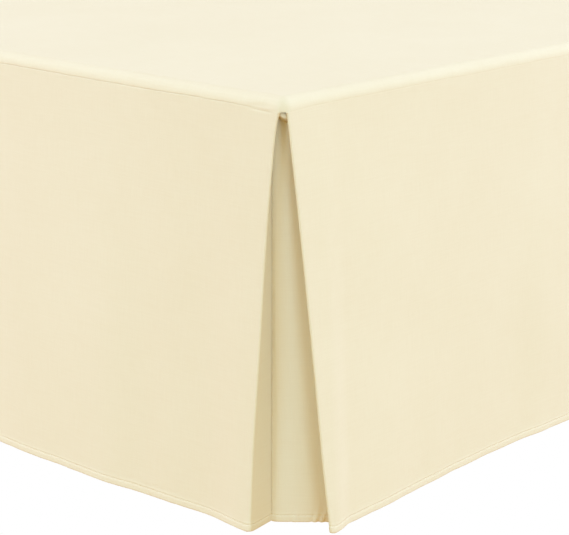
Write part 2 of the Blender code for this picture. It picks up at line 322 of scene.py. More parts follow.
SEAM_CURL = 0.35 * MM        # radius at which the cloth turns in at the seam
CURL_STEPS = 4
CURL_ON_FOOT = 0.62          # share of that curl which the seam has across the foot, away from the corners
CURL_ON_SIDES = 0.12
FLAT_AT_CORNER = 14 * MM     # the seam is flat and closed up to here
SEAM_PARTING = 0.1 * MM      # hairline between the two edges that the seam joins
SEAM_CLOSING = 0.08 * MM     # how much of it is closed along the sides and beside the corners
SEAM_SQUARING = (0.117 * MM, 0.19 * MM)   # out and up or down, squares a turned edge where it has no curl
SEAM_TURNED_IN = 1.2 * MM
SEAM_WAVE = 0.45 * MM
SEAM_WAVE_PITCH = 46 * MM
SEAM_RIPPLE = 0.18 * MM
SEAM_RIPPLE_PITCH = 15 * MM
SEAM_PUCKER = 0.28 * MM
PUCKER_PITCH = 11 * MM
PUCKER_START = 10 * MM
PUCKER_EASE = 25 * MM
CORNER_EASE = 30 * MM        # length over which the seam's waves grow from nothing beside a corner
CORNER_DROOP = 1.1 * MM      # how far the weight of a pleat draws the seam down at the corner
DROOP_REACH = 24 * MM
FOOT_SEED, RIGHT_SEED, LEFT_SEED = 11, 23, 37

NOT_ZERO = 1e-9              # keeps a division away from zero
WAVES, FIRST_WAVE = 4096, 2000.5   # heights in a line of waves, and the one that stands at place 0
DENTS, FIRST_DENT = 512, 200.5     # the same over a sheet, each way


def soft_waves(places, pitch, seed):
    """Uneven waves between -1 and 1 along a line, with a crest or hollow about every pitch."""
    heights = np.random.RandomState(seed).uniform(-1, 1, WAVES)
    steps = np.asarray(places, float) / pitch + FIRST_WAVE
    whole = np.floor(steps).astype(int)
    share = 0.5 - 0.5 * np.cos(np.pi * (steps - whole))
    return heights[whole] * (1 - share) + heights[whole + 1] * share


def soft_dents(across, down, pitch_across, pitch_down, seed):
    """Uneven low hills and hollows between -1 and 1 over a sheet."""
    heights = np.random.RandomState(seed).uniform(-1, 1, (DENTS, DENTS))
    steps_across = np.asarray(across, float) / pitch_across + FIRST_DENT
    steps_down = np.asarray(down, float) / pitch_down + FIRST_DENT
    column, row = np.floor(steps_across).astype(int), np.floor(steps_down).astype(int)
    share_across = 0.5 - 0.5 * np.cos(np.pi * (steps_across - column))
    share_down = 0.5 - 0.5 * np.cos(np.pi * (steps_down - row))
    upper = heights[row, column] * (1 - share_across) + heights[row, column + 1] * share_across
    lower = heights[row + 1, column] * (1 - share_across) + heights[row + 1, column + 1] * share_across
    return upper * (1 - share_down) + lower * share_down


def rise(value):
    """Eases from 0 to 1 as value goes from 0 to 1."""
    value = np.clip(value, 0, 1)
    return value * value * (3 - 2 * value)


def seam_lift(along, seed):
    """How far the seam runs above or below its level, at distances from the corner."""
    line = SEAM_WAVE * soft_waves(along, SEAM_WAVE_PITCH, seed)
    line += SEAM_RIPPLE * soft_waves(along, SEAM_RIPPLE_PITCH, seed + 1)
    return line * rise(along / CORNER_EASE)


def seam_pucker(along, seed):
    """How far the seam is drawn out or in, at distances from the corner."""
    start = rise((along - PUCKER_START) / PUCKER_EASE)
    return SEAM_PUCKER * soft_waves(along, PUCKER_PITCH, seed + 2) * start


def corner_droop(from_corner):
    """How far the seam hangs below its level, at distances from a corner."""
    return CORNER_DROOP * np.exp(-(np.maximum(from_corner, 0) / DROOP_REACH) ** 2)


def past_corner(from_corner):
    """Eases from 0 beside a corner, where a seam is flat and closed, to 1 further along it."""
    return rise((from_corner - FLAT_AT_CORNER) / CORNER_EASE)


def curl_share(from_corner, beside_foot):
    """How much of its curl a seam has: none at the corner, and less along the sides than across the foot."""
    return np.where(beside_foot, CURL_ON_FOOT, CURL_ON_SIDES) * past_corner(from_corner)


# A small crease in the cloth beside the corner, in millimetres: where it starts and ends, measured along from
# the corner and down (or up) from the seam, its depth and half its width
Crease = namedtuple("Crease", "along off to_along to_off depth width")


def crease_depth(creases, along, off):
    """How far the cloth is drawn in by its creases."""
    total = 0
    for crease in creases:
        run_along, run_off = (crease.to_along - crease.along) * MM, (crease.to_off - crease.off) * MM
        from_along, from_off = along - crease.along * MM, off - crease.off * MM
        share = np.clip((from_along * run_along + from_off * run_off) / (run_along ** 2 + run_off ** 2), 0, 1)
        away = np.hypot(from_along - share * run_along, from_off - share * run_off)
        total = total + crease.depth * MM * np.exp(-(away / (crease.width * MM)) ** 2)
    return total


# A turned hem, in millimetres: how far it stands up from the cloth, from which distance from the edge, over
# what slope, and the groove along its stitches
Hem = namedtuple("Hem", "raised reach slope groove groove_width")
DECK_HEM = Hem(0.35, 8.5, 1.5, 0.3, 0.8)
HEM_STITCH_UP = 6.2 * MM     # from a hem's edge to its row of stitches


def hem_relief(hem, from_edge):
    """How far a hem's face stands out from the cloth around it."""
    raised = hem.raised * MM * rise((hem.reach * MM - from_edge) / (hem.slope * MM))
    return raised - hem.groove * MM * np.exp(-((from_edge - HEM_STITCH_UP) / (hem.groove_width * MM)) ** 2)


def lay_cloth(name, points, flat, material):
    """A sheet through a grid of points, rows from bottom to top, with its flat layout in metres as UVs."""
    rows, columns = points.shape[:2]
    bpy.ops.object.select_all(action="DESELECT")
    bpy.ops.mesh.primitive_grid_add(x_subdivisions=columns - 1, y_subdivisions=rows - 1, size=1,
                                    calc_uvs=True)
    piece = bpy.context.object
    piece.name = piece.data.name = name
    piece.data.vertices.foreach_set("co", points.reshape(-1))
    corners = np.zeros(len(piece.data.loops), int)
    piece.data.loops.foreach_get("vertex_index", corners)
    piece.data.uv_layers[0].data.foreach_set("uv", flat.reshape(-1, 2)[corners].reshape(-1))
    piece.data.update()
    solid = piece.modifiers.new("cloth", "SOLIDIFY")
    solid.thickness = CLOTH
    solid.offset = 0
    bpy.ops.object.modifier_apply(modifier=solid.name)
    piece.data.materials.append(material)
    bpy.ops.object.shade_smooth_by_angle(angle=math.radians(50))
    return piece


Thread = namedtuple("Thread", "length pitch radius sides")
HEM_THREAD = Thread(2.5 * MM, 3.1 * MM, 0.17 * MM, 4)

# Rings of points round one stitch: share of its length, half its width and its lift, in radii of the thread
Ring = namedtuple("Ring", "share width lift")
STITCH_RINGS = [Ring(0.0, 0.35, -0.6), Ring(0.18, 0.9, 0.35), Ring(0.5, 1.0, 0.6), Ring(0.82, 0.9, 0.35),
                Ring(1.0, 0.35, -0.6)]


def sew_line(name, line, outward, material):
    """A row of lockstitches along points on the cloth, each a short thread that dips in at its ends."""
    gaps = np.linalg.norm(np.diff(line, axis=0), axis=1)
    travelled = np.concatenate([[0], np.cumsum(gaps)])
    count = int((travelled[-1] - HEM_THREAD.length) / HEM_THREAD.pitch)
    starts = np.arange(count) * HEM_THREAD.pitch + HEM_THREAD.pitch / 2

    def at(distance, values):
        return np.stack([np.interp(distance, travelled, values[:, axis]) for axis in range(3)], axis=1)

    ahead = at(starts + HEM_THREAD.length, line) - at(starts, line)
    ahead /= np.linalg.norm(ahead, axis=1)[:, None]
    vertices, faces = [], []
    for ring in STITCH_RINGS:
        middle = at(starts + ring.share * HEM_THREAD.length, line)
        out = at(starts + ring.share * HEM_THREAD.length, outward)
        out /= np.linalg.norm(out, axis=1)[:, None]
        beside = np.cross(out, ahead)
        for turn in range(HEM_THREAD.sides):
            angle = math.tau / HEM_THREAD.sides * (turn + 0.5)
            vertices.append(middle + HEM_THREAD.radius * (
                out * (ring.lift + ring.width * math.sin(angle)) + beside * ring.width * math.cos(angle)))
    vertices = np.stack(vertices, axis=1)
    ring_starts = np.arange(len(STITCH_RINGS)) * HEM_THREAD.sides
    for stitch in range(count):
        rings = [int(start) + stitch * vertices.shape[1] for start in ring_starts]
        for low, high in zip(rings, rings[1:]):
            for turn in range(HEM_THREAD.sides):
                after = (turn + 1) % HEM_THREAD.sides
                faces.append((low + turn, high + turn, high + after, low + after))
        faces.append(tuple(rings[0] + turn for turn in range(HEM_THREAD.sides)))
        faces.append(tuple(rings[-1] + turn for turn in reversed(range(HEM_THREAD.sides))))
    mesh = bpy.data.meshes.new(name)
    mesh.from_pydata(vertices.reshape(-1, 3).tolist(), [], faces)
    stitches = bpy.data.objects.new(name, mesh)
    bpy.context.scene.collection.objects.link(stitches)
    pick_up(stitches)
    bpy.ops.object.mode_set(mode="EDIT")
    bpy.ops.mesh.select_all(action="SELECT")
    bpy.ops.mesh.normals_make_consistent(inside=False)
    bpy.ops.object.mode_set(mode="OBJECT")
    mesh.materials.append(material)
    bpy.ops.object.shade_smooth_by_angle(angle=math.radians(60))
    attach(stitches, "root")
    return stitches


cream_cotton, cream_shader = woven_finish(
    "cream_cotton", light=(0.80, 0.713, 0.515), dark=(0.765, 0.668, 0.462), threads_per_metre=2400,
    unevenness=1.1, mottling=0.9, bump_height=0.06 * MM, roughness=0.88)
cream_shader.inputs["Sheen Weight"].default_value = 0.12
cream_shader.inputs["Sheen Roughness"].default_value = 0.5
cream_shader.inputs["Specular IOR Level"].default_value = 0.25

sewing_thread = fibre_finish("cream_sewing_thread", 0.6, 2500.0, 1.0, (0.90, 0.82, 0.64), (0.80, 0.71, 0.53))


def rim_profile():
    """The deck's edge in section: travel along the cloth, distance out and down, and how far it curls in."""
    radius = DECK_ROLL - CLOTH / 2
    curl_start = DECK_TOP - CLOTH / 2 - SEAM_Z - CLOTH / 2 - SEAM_CURL
    steps = [(radius * math.sin(turn), radius * (1 - math.cos(turn)), 0)
             for turn in np.linspace(0, math.pi / 2, ROLL_STEPS)]
    steps += [(radius, curl_start + SEAM_CURL * math.sin(turn), SEAM_CURL * (1 - math.cos(turn)))
              for turn in np.linspace(0, math.pi / 2, CURL_STEPS)]
    steps.append((radius - SEAM_TURNED_IN, curl_start + SEAM_CURL, SEAM_CURL))
    out, down, curl = np.array(steps).T
    travel = np.concatenate([[0], np.cumsum(np.hypot(np.diff(out - curl), np.diff(down)))])
    return travel, out, down, curl


def even_steps(length, pitch):
    return np.linspace(0, length, max(2, int(round(length / pitch)) + 1))


rim_travel, rim_out, rim_down, rim_curl = rim_profile()
inner_x = SEAM_X - DECK_ROLL
inner_foot_y = SEAM_FOOT_Y + DECK_ROLL
beside = np.concatenate([-inner_x - rim_travel[:0:-1],
                         -inner_x + even_steps(2 * inner_x - SHOWN_REACH, DECK_PITCH)[:-1],
                         inner_x - SHOWN_REACH + even_steps(SHOWN_REACH, SHOWN_PITCH),
                         inner_x + rim_travel[1:]])
past_shown = inner_foot_y + SHOWN_REACH
lengthwise = np.concatenate([inner_foot_y - rim_travel[:0:-1],
                             inner_foot_y + even_steps(SHOWN_REACH, SHOWN_PITCH)[:-1],
                             past_shown + even_steps(SKIRT_HEAD_Y - past_shown - DECK_PITCH, DECK_PITCH),
                             SKIRT_HEAD_Y - HEAD_ROWS])
flat_x, flat_y = np.meshgrid(beside, lengthwise)
past_side = np.maximum(np.abs(flat_x) - inner_x, 0)
past_foot = np.maximum(inner_foot_y - flat_y, 0)
travel = np.maximum(past_side, past_foot)
toward_foot = np.where(travel > 0, np.where(
    past_side >= past_foot, past_foot / np.maximum(past_side, NOT_ZERO) / 2,
    1 - past_side / np.maximum(past_foot, NOT_ZERO) / 2), 0) * math.pi / 2
on_side = past_side >= past_foot
rim_share = curl_share(np.where(on_side, flat_y - SEAM_FOOT_Y, SEAM_X - np.abs(flat_x)), ~on_side)
rim_squared = (1 - rim_share) * (np.abs(travel - rim_travel[-2]) < MM / 100)
out = np.interp(travel, rim_travel, rim_out) - np.interp(travel, rim_travel, rim_curl) * rim_share
out += SEAM_SQUARING[0] * rim_squared
deck_points = np.stack([
    np.clip(flat_x, -inner_x, inner_x) + np.sign(flat_x) * out * np.cos(toward_foot) * (past_side > 0),
    np.maximum(flat_y, inner_foot_y) - out * np.sin(toward_foot) * (past_foot > 0),
    DECK_TOP - CLOTH / 2 - np.interp(travel, rim_travel, rim_down) - SEAM_SQUARING[1] * rim_squared], axis=2)

# The seam runs a little unevenly, and a small crease crosses the soft edge beside the corner that shows.
RIM_CREASES = [Crease(34, 1.4, 17, 3.2, 0.65, 1.2)]
from_corner_side = deck_points[..., 1] - SEAM_FOOT_Y
from_corner_foot = np.where(flat_x > 0, SEAM_X - deck_points[..., 0], SEAM_X + deck_points[..., 0])
along_foot = SEAM_X - deck_points[..., 0]
side_lift = np.where(flat_x > 0, seam_lift(from_corner_side, RIGHT_SEED),
                     seam_lift(from_corner_side, LEFT_SEED))
side_pucker = np.where(flat_x > 0, seam_pucker(from_corner_side, RIGHT_SEED),
                       seam_pucker(from_corner_side, LEFT_SEED))
calm_at_left = rise((2 * SEAM_X - along_foot) / CORNER_EASE)
foot_lift = seam_lift(along_foot, FOOT_SEED) * calm_at_left
foot_pucker = seam_pucker(along_foot, FOOT_SEED) * calm_at_left
down_the_rim = rise(travel / rim_travel[-3])
droop = corner_droop(np.where(on_side, from_corner_side, from_corner_foot))
rim_creases = crease_depth(RIM_CREASES, along_foot, rim_travel[-2] - travel)
edge_pucker = np.where(on_side, side_pucker, foot_pucker - rim_creases) * down_the_rim
deck_points[..., 0] += np.sign(flat_x) * edge_pucker * np.cos(toward_foot) * (past_side > 0)
deck_points[..., 1] -= edge_pucker * np.sin(toward_foot) * (past_foot > 0)
deck_points[..., 2] += (np.where(on_side, side_lift, foot_lift) - droop) * down_the_rim ** 2

# The loose sheet lies in low swells, each way in millimetres.
Swell = namedtuple("Swell", "height pitch_across pitch_along seed")
swell = 0.5
for part in (Swell(0.35, 150, 190, 5), Swell(0.15, 47, 60, 6)):
    swell = swell + part.height * soft_dents(flat_x, flat_y, part.pitch_across * MM, part.pitch_along * MM,
                                             part.seed)
from_edge = np.minimum(SEAM_X - np.abs(flat_x), flat_y - SEAM_FOOT_Y)
deck_points[..., 2] += DECK_SLACK * swell * rise((from_edge - DECK_ROLL) / DECK_SLACK_EASE)
up_to_head = SKIRT_HEAD_Y - flat_y
deck_points[..., 2] += hem_relief(DECK_HEM, up_to_head) * (travel == 0)

deck_cloth = lay_cloth("deck_cloth", deck_points, np.stack([flat_x, flat_y], axis=2), cream_cotton)
stitch_row = int(np.argmin(np.abs(up_to_head[:, 0] - HEM_STITCH_UP)))
head_line = deck_points[stitch_row, len(rim_travel) - 1:1 - len(rim_travel)] + (0, 0, CLOTH / 2)
head_stitching = sew_line("deck_head_stitching", head_line, np.tile((0.0, 0.0, 1.0), (len(head_line), 1)),
                          sewing_thread)
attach(deck_cloth, "root")
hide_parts("deck")


# ---- The foot drop ----
# The drop across the foot of the bed, one straight panel of the same cotton sewn to the deck's edge. Past
# each pressed front fold its cloth is turned in behind the corner pleat, and its lower edge has a stitched
# double hem.

DROP = 372 * MM
FOLD_RADIUS = 0.9 * MM
FOLD_STEPS = 8
RETURN_STEPS = 7
INSERT_STEPS = 60
FLAP = 3 * MM                # seam allowance behind an inner crease
FLAP_SPACING = 0.84 * MM
FLAP_WAY = np.array((-0.88, 0.475))
CREASE_ROUNDING = 0.7 * MM
THROAT = 2.9 * MM            # how far the foot drop's fold is drawn towards the corner just under the seam
THROAT_DOWN = 12 * MM
ARCH_ROUNDING = 1.2 * MM     # the pleat's opening has a rounded top
ARCH_DOWN = 1.5 * MM
CORNER_TO_CORNER = 2 * SEAM_X
CORNER_TO_HEAD = SKIRT_HEAD_Y - SEAM_FOOT_Y
HEM_TURN = 0.55 * MM         # middle of the cloth round a hem's lower edge
HEM_UP = 7.2 * MM
LOWER_HEM = Hem(0.3, 9.0, 2.2, 0.45, 0.75)

# How far the hem stands out from the seam, in millimetres, at distances along the drop from the shown corner
HemRow = namedtuple("HemRow", "along out")
FOOT_HEM = [
    HemRow(30, 6.5), HemRow(46, 7.4), HemRow(82, 4.6), HemRow(150, 9.8), HemRow(225, 16.3), HemRow(330, 17.2),
    HemRow(455, 11.0), HemRow(560, 7.5), HemRow(690, 14.5), HemRow(820, 10.0), HemRow(945, 6.5),
    HemRow(1080, 13.0), HemRow(1190, 15.5), HemRow(1275, 5.5), HemRow(1312, 7.4), HemRow(1328, 6.5),
]
SIDE_HEM = [
    HemRow(36, 20.6), HemRow(44, 21.4), HemRow(70, 16.0), HemRow(118, 15.4), HemRow(180, 11.6),
    HemRow(240, 8.6), HemRow(325, 6.6), HemRow(375, 10.0), HemRow(480, 13.0), HemRow(610, 8.5),
    HemRow(750, 15.0), HemRow(890, 9.5), HemRow(1020, 13.5), HemRow(1160, 8.0), HemRow(1310, 14.0),
    HemRow(1450, 9.0), HemRow(1590, 13.0), HemRow(1720, 8.5), HemRow(1830, 11.0), HemRow(1900, 12.0),
]

# The inverted pleat, in millimetres. "down" is below the seam. An edge is the front fold of a drop, and a
# crease is where the insert joins the cloth turned in from that fold. "along" is the distance from the corner
# beside that drop, and "inward" runs from the seam towards the inside of the bed.
PleatRow = namedtuple(
    "PleatRow",
    "down foot_edge foot_crease_along foot_crease_inward side_edge side_crease_along side_crease_inward",
)
PLEAT = [
    PleatRow(0, 9.3, 20.0, 8.0, 5.2, 26.0, 3.6),
    PleatRow(85, 17.4, 24.2, 12.1, 13.5, 33.9, 1.3),
    PleatRow(220, 26.6, 34.5, 22.6, 25.1, 49.0, -0.1),
    PleatRow(318, 32.8, 37.3, 25.1, 32.5, 58.0, -2.8),
    PleatRow(372, 34.3, 37.4, 25.0, 37.9, 62.6, -4.7),
]


def pleat_size(column, down):
    """A size of the pleat at one level, on a smooth curve through the rows of its table."""
    places = [row.down * MM for row in PLEAT]
    sizes = [getattr(row, column) * MM for row in PLEAT]
    slopes = np.gradient(sizes, places)
    after = min(max(1, int(np.searchsorted(places, down))), len(PLEAT) - 1)
    span = places[after] - places[after - 1]
    share = (down - places[after - 1]) / span
    bend = share * share * (3 - 2 * share)
    start = slopes[after - 1] * span * share * (1 - share) ** 2
    end = slopes[after] * span * share * share * (share - 1)
    return sizes[after - 1] * (1 - bend) + sizes[after] * bend + start + end


def hem_out(table, along):
    """How far the hem stands out, eased between the rows so that its crests and hollows are round."""
    places = np.array([row.along for row in table]) * MM
    outs = np.array([row.out for row in table]) * MM
    place = np.clip(along, places[0], places[-1])
    after = np.clip(np.searchsorted(places, place), 1, len(places) - 1)
    share = (place - places[after - 1]) / (places[after] - places[after - 1])
    return outs[after - 1] + (outs[after] - outs[after - 1]) * (0.5 - 0.5 * np.cos(np.pi * share))


def stands_out(table, along, down):
    """How far the middle of a drop's cloth stands out from the seam's face."""
    return -CLOTH / 2 + (hem_out(table, along) + CLOTH / 2) * down / DROP


Pin = namedtuple("Pin", "centre turn")   # the cloth runs round pins like a belt: +1 turns it left, -1 right


def pleat_pins(down):
    """The pins seen from above at the right-hand corner, in order from the foot drop to the side drop."""
    arch = ARCH_ROUNDING * math.exp(-down / ARCH_DOWN)
    foot_edge = pleat_size("foot_edge", down) - THROAT * math.exp(-down / THROAT_DOWN) - arch
    side_edge = pleat_size("side_edge", down) - arch
    foot_out = float(stands_out(FOOT_HEM, foot_edge, down))
    side_out = float(stands_out(SIDE_HEM, side_edge, down))
    return [
        Pin(np.array((-foot_edge - FOLD_RADIUS, FOLD_RADIUS - foot_out)), 1),
        Pin(np.array((-pleat_size("foot_crease_along", down), pleat_size("foot_crease_inward", down))), -1),
        Pin(np.array((-pleat_size("side_crease_inward", down), pleat_size("side_crease_along", down))), -1),
        Pin(np.array((side_out - FOLD_RADIUS, side_edge + FOLD_RADIUS)), 1),
    ]


def heading_between(first, second):
    step = second.centre - first.centre
    lean = math.asin(FOLD_RADIUS * (second.turn - first.turn) / np.hypot(*step))
    return math.atan2(step[1], step[0]) - lean


def point_on_pin(pin, heading):
    return pin.centre + pin.turn * FOLD_RADIUS * np.array((math.sin(heading), -math.cos(heading)))


def round_pin(pin, heading_in, heading_out):
    turned = (heading_out - heading_in) * pin.turn % (2 * math.pi)
    return [point_on_pin(pin, heading_in + pin.turn * turned * step / FOLD_STEPS)
            for step in range(FOLD_STEPS + 1)]


def way(heading):
    return np.array((math.cos(heading), math.sin(heading)))


def unit(vector):
    return vector / np.hypot(*vector)


def between(start, end, steps):
    """The points that part a straight run into even steps, without its ends."""
    return [start + (end - start) * share for share in np.linspace(0, 1, steps + 1)[1:-1]]


def soft_corner(before, corner, after):
    """Three points that round a sharp turn."""
    return [(before + corner) / 2, 0.25 * before + 0.5 * corner + 0.25 * after, (corner + after) / 2]


Pleat = namedtuple("Pleat", "foot insert side")   # three lines in plan, each in the order foot to side


def pleat_lines(down):
    """The pleat's cloth at one level: turned in from the foot drop, the insert, turned in from the side."""
    foot, foot_crease, side_crease, side = pleat_pins(down)
    inward, across = heading_between(foot, foot_crease), heading_between(foot_crease, side_crease)
    outward = heading_between(side_crease, side)
    foot_beside = np.array((FLAP_WAY[1], -FLAP_WAY[0]))
    side_way = unit(way(across) - way(outward))
    side_beside = unit(way(across) + way(outward))

    foot_end, insert_start = point_on_pin(foot_crease, inward), point_on_pin(foot_crease, across)
    apart = max(0.0, FLAP_SPACING - float(np.dot(insert_start - foot_end, foot_beside))) / 2
    foot_end, insert_start = foot_end - foot_beside * apart, insert_start + foot_beside * apart
    insert_end, side_start = point_on_pin(side_crease, across), point_on_pin(side_crease, outward)
    apart = max(0.0, FLAP_SPACING - float(np.dot(side_start - insert_end, side_beside))) / 2
    insert_end, side_start = insert_end - side_beside * apart, side_start + side_beside * apart

    near = CREASE_ROUNDING
    foot_fold = round_pin(foot, 0, inward)
    foot_return = between(foot_fold[-1], foot_end, RETURN_STEPS)
    foot_line = foot_fold + foot_return + soft_corner(
        foot_end + unit(foot_return[-1] - foot_end) * near, foot_end, foot_end + FLAP_WAY * near)
    foot_line.append(foot_end + FLAP_WAY * FLAP)

    insert_line = [insert_start + FLAP_WAY * FLAP] + soft_corner(
        insert_start + FLAP_WAY * near, insert_start, insert_start + way(across) * near)
    insert_line += between(insert_start, insert_end, INSERT_STEPS) + soft_corner(
        insert_end - way(across) * near, insert_end, insert_end + side_way * near)
    insert_line.append(insert_end + side_way * FLAP)

    side_fold = round_pin(side, outward, math.pi / 2)
    side_return = between(side_start, side_fold[0], RETURN_STEPS)
    side_line = [side_start + side_way * FLAP] + soft_corner(
        side_start + side_way * near, side_start, side_start + unit(side_return[0] - side_start) * near)
    side_line += side_return + side_fold
    return Pleat(np.array(foot_line), np.array(insert_line), np.array(side_line))


# A row of points across a sheet: its level below the seam, how far behind the face it is, and its share of
# the curl
Row = namedtuple("Row", "down back curl")


def cloth_rows():
    """Rows from the back of the hem, round its lower edge, up the face and in at the seam."""
    hem_back = [Row(DROP - HEM_UP, 0.95 * MM, 0), Row(DROP - HEM_STITCH_UP, 0.85 * MM, 0)]
    hem_back += [Row(DROP - up * MM, 2 * HEM_TURN, 0) for up in (5.0, 3.2, 1.6)]
    hem_edge = [Row(DROP - HEM_TURN + HEM_TURN * math.sin(turn), HEM_TURN * (1 + math.cos(turn)), 0)
                for turn in np.linspace(0, math.pi, 6)]
    hem_face = [Row(DROP - up * MM, 0, 0)
                for up in (1.3, 2.4, 3.6, 4.6, 5.3, 5.8, 6.2, 6.6, 7.1, 7.8, 8.7, 10, 12, 15, 19, 24)]
    face = [Row(down * MM, 0, 0) for down in np.linspace(342, 44, 44)]
    top = [Row(down * MM, 0, 0)
           for down in (37.5, 31.5, 26, 21, 17, 13.5, 10.9, 8.9, 7.3, 6.0, 4.9, 3.9, 2.9, 2.1, 1.4)]
    seam_edge = CLOTH / 2 + SEAM_PARTING
    curl = [Row(seam_edge + SEAM_CURL * (1 - math.sin(turn)), 0, 1 - math.cos(turn))
            for turn in np.linspace(0, math.pi / 2, CURL_STEPS)]
    end = [Row(seam_edge, SEAM_TURNED_IN, 1)]
    return hem_back + hem_edge + hem_face + face + top + curl + end


ROWS = cloth_rows()
HEM_ROW = next(index for index, row in enumerate(ROWS)
               if row.back == 0 and abs(row.down - DROP + HEM_STITCH_UP) < MM / 1000)
downs = np.array([row.down for row in ROWS])[:, None]
backs = np.array([row.back for row in ROWS])[:, None]
curls = np.array([row.curl for row in ROWS])[:, None]
hem_face_shape = np.where(backs > 0, 0, hem_relief(LOWER_HEM, DROP - downs))
pleats = [pleat_lines(row.down) for row in ROWS]

PUCKER_DOWN = 9 * MM         # how far below the seam its puckers reach
GATHER, GATHER_PITCH, GATHER_START, GATHER_DOWN = 0.16 * MM, 17 * MM, 8 * MM, 34 * MM
FACE_SWELL, FACE_SWELL_ACROSS, FACE_SWELL_DOWN, FACE_SWELL_START = 0.55 * MM, 85 * MM, 170 * MM, 60 * MM
NEAR_FOLD = 45 * MM
HEM_WAVE, HEM_WAVE_PITCH, HEM_WAVE_SEED = 0.5 * MM, 60 * MM, 71
HEM_RIPPLE, HEM_RIPPLE_PITCH, HEM_RIPPLE_SEED = 0.25 * MM, 21 * MM, 72
HEM_WAVE_UP = 60 * MM
SEAM_RISE_DOWN = 25 * MM
FOOT_FOLD_SAG = 1.2 * MM     # how far the hem hangs lower beside a pleat's fold
SIDE_FOLD_SAG = 0.6 * MM
SAG_INWARD, SAG_ALONG = 60 * MM, 16 * MM
HEM_CORNER_ROUNDING = 1.1 * MM   # and how far the fold's own lower corner is rounded off
HEM_CORNER_REACH = 2.6 * MM
FOLD_GIVE = 0.45             # share of a hem's thickness by which its back lies further in at a fold

# Small slanting pulls over the hem: depth, pitch and reach up in millimetres, and the lean as millimetres
# along for each one up
Slant = namedtuple("Slant", "depth pitch lean up")
HEM_SLANTS = [Slant(0.30, 14, 0.5, 11), Slant(0.16, 8, -0.8, 7)]

FOOT_CREASES = [Crease(36, 1.2, 16, 1.6, 0.5, 0.8)]   # one under the seam, beside the corner that shows


def face_unevenness(along, seed, near_fold):
    """Small puckers under the seam and over the hem, and broad shallow swells between, calm near a fold."""
    up = DROP - downs
    below_seam = seam_pucker(along, seed) * np.exp(-downs / PUCKER_DOWN)
    gathers = GATHER * soft_waves(along, GATHER_PITCH, seed + 3)
    gathers *= np.exp(-downs / GATHER_DOWN) * rise(downs / GATHER_START)
    swells = FACE_SWELL * soft_dents(along, downs, FACE_SWELL_ACROSS, FACE_SWELL_DOWN, seed + 4)
    swells *= rise(downs / FACE_SWELL_START)
    pulls = 0
    for slant_seed, slant in enumerate(HEM_SLANTS, seed + 5):
        waves = soft_waves(along + slant.lean * up, slant.pitch * MM, slant_seed)
        pulls = pulls + slant.depth * MM * waves * np.exp(-up / (slant.up * MM))
    return below_seam + (gathers + swells + pulls) * near_fold


def hang(lines, along, unevenness, give, curl, seam_rise, fold_sag):
    """Places a sheet's points: lines in plan, moved out by the unevenness and back where the row says."""
    ahead = np.gradient(lines, axis=1)
    ahead /= np.linalg.norm(ahead, axis=2)[..., None]
    outward = np.stack([ahead[..., 1], -ahead[..., 0]], axis=2)
    moved_out = unevenness + hem_face_shape - backs * give - curls * curl * SEAM_CURL
    moved = lines + outward * moved_out[..., None]
    hem_line = HEM_WAVE * soft_waves(along, HEM_WAVE_PITCH, HEM_WAVE_SEED)
    hem_line += HEM_RIPPLE * soft_waves(along, HEM_RIPPLE_PITCH, HEM_RIPPLE_SEED)
    heights = SEAM_Z - downs + seam_rise * np.exp(-downs / SEAM_RISE_DOWN)
    heights = heights + (hem_line - fold_sag) * rise((downs - DROP + HEM_WAVE_UP) / HEM_WAVE_UP)
    squared = np.broadcast_to(1 - np.asarray(curl), along.shape)[-2]
    moved[-2] += outward[-2] * SEAM_SQUARING[0] * squared[:, None]
    heights[-2] += SEAM_SQUARING[1] * squared
    level = np.zeros(outward.shape[:2] + (1,))
    return np.concatenate([moved, heights[..., None]], axis=2), np.concatenate([outward, level], axis=2)


def sag_beside_fold(lines, fold_column, fold_sag):
    """The hem hangs lowest beside the front fold, less at the inner crease and not at all along the drop."""
    steps = np.linalg.norm(np.diff(lines[0], axis=0), axis=1)
    places = np.concatenate([[0], np.cumsum(steps)])
    columns = np.arange(len(places))
    turned_in = columns < fold_column if fold_column < len(places) / 2 else columns > fold_column
    away = np.abs(places - places[fold_column])
    sag = fold_sag * np.exp(-(away / np.where(turned_in, SAG_INWARD, SAG_ALONG)) ** 2)
    return sag - HEM_CORNER_ROUNDING * np.exp(-(away / HEM_CORNER_REACH) ** 2)


def flat_layout(points):
    """A sheet's own flat layout, in metres: along each row and up each column."""
    steps = np.linalg.norm(np.diff(points, axis=1), axis=2)
    along = np.concatenate([np.zeros((len(points), 1)), np.cumsum(steps, axis=1)], axis=1)
    along -= along.mean(axis=1)[:, None]
    rises = np.linalg.norm(np.diff(points, axis=0), axis=2).mean(axis=1)
    up = np.concatenate([[0], np.cumsum(rises)])
    return np.stack([along, np.broadcast_to(up[:, None], along.shape)], axis=2)


# Columns of a drop's front, closer beside the fold that shows and beside its far end
Columns = namedtuple("Columns", "close_reach close_pitch wide_pitch close_at_end")
FOOT_COLUMNS = Columns(170 * MM, 3.2 * MM, 7 * MM, 25 * MM)
SIDE_COLUMNS = Columns(170 * MM, 3.2 * MM, 7.5 * MM, 14 * MM)


def front_shares(length, columns):
    """Where the columns of a drop's front stand, as shares of its length."""
    close = np.arange(0, columns.close_reach, columns.close_pitch)
    wide = even_steps(length - columns.close_reach - columns.close_at_end, columns.wide_pitch)[:-1]
    last = length - np.arange(columns.close_at_end, 0, -columns.close_pitch)
    return np.concatenate([close, columns.close_reach + wide, last, [length]]) / length


